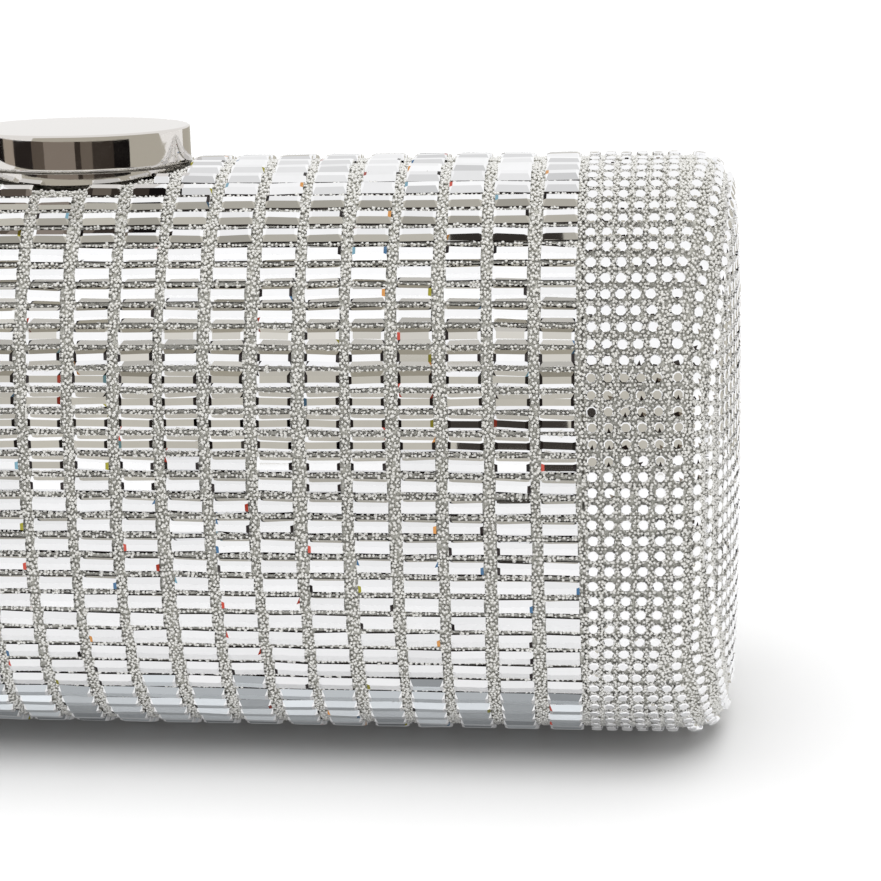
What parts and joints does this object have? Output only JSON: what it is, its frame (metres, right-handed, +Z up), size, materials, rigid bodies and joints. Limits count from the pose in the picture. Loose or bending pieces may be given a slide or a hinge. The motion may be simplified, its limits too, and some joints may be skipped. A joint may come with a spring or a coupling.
{
  "type": "box clutch bag",
  "caption": "Hard box clutch covered with crystal mesh: two half shells on bottom hinges, closed by an oval press clasp on the top edge.",
  "frame": {"origin": "middle of the base, on the surface that the bag stands on", "axes": "+X along the bag to its right end, +Z up through the clasp, the front half looks to -Y"},
  "size_m": [0.203, 0.06, 0.0952],
  "materials": {
    "crystal": "gloss",
    "bead_mesh": "polished",
    "polished_nickel": "polished",
    "plated_brass": "satin",
    "steel": "satin",
    "satin_lining": "satin"
  },
  "bodies": {
    "back_half": {"back_shell": "plated_brass", "back_frame": "polished_nickel", "back_baguette_mesh": "crystal", "back_left_end_mesh": "crystal", "back_right_end_mesh": "crystal", "back_lining": "satin_lining", "slip_pocket": "satin_lining", "left_hinge_back_leaf": "polished_nickel", "right_hinge_back_leaf": "polished_nickel", "left_hinge_pin": "steel", "right_hinge_pin": "steel", "lock_housing": "steel", "left_housing_screw": "steel", "right_housing_screw": "steel", "left_clasp_spring": "steel", "right_clasp_spring": "steel"},
    "front_half": {"front_shell": "plated_brass", "front_frame": "polished_nickel", "front_baguette_mesh": "crystal", "front_left_end_mesh": "crystal", "front_right_end_mesh": "crystal", "front_lining": "satin_lining", "left_hinge_front_leaf": "polished_nickel", "right_hinge_front_leaf": "polished_nickel", "keeper": "steel", "left_keeper_screw": "steel", "right_keeper_screw": "steel"},
    "clasp": {"clasp_plate": "polished_nickel", "left_clasp_post": "steel", "right_clasp_post": "steel", "catch_bar": "steel", "left_post_nut": "steel", "right_post_nut": "steel"}
  },
  "joints": [
    {"name": "front_half_opens", "type": "hinge", "parent": "back_half", "child": "front_half", "pos_m": [0, 0, 0.00195], "axis": [1, 0, 0], "range_deg": [0, 70]},
    {"name": "clasp_press", "type": "slide", "parent": "back_half", "child": "clasp", "axis": [0, 0, -1], "range_m": [0, 0.0012], "stiffness_N_per_m": 1700, "springref_m": -0.0018, "deforming": ["left_clasp_spring", "right_clasp_spring"]}
  ]
}
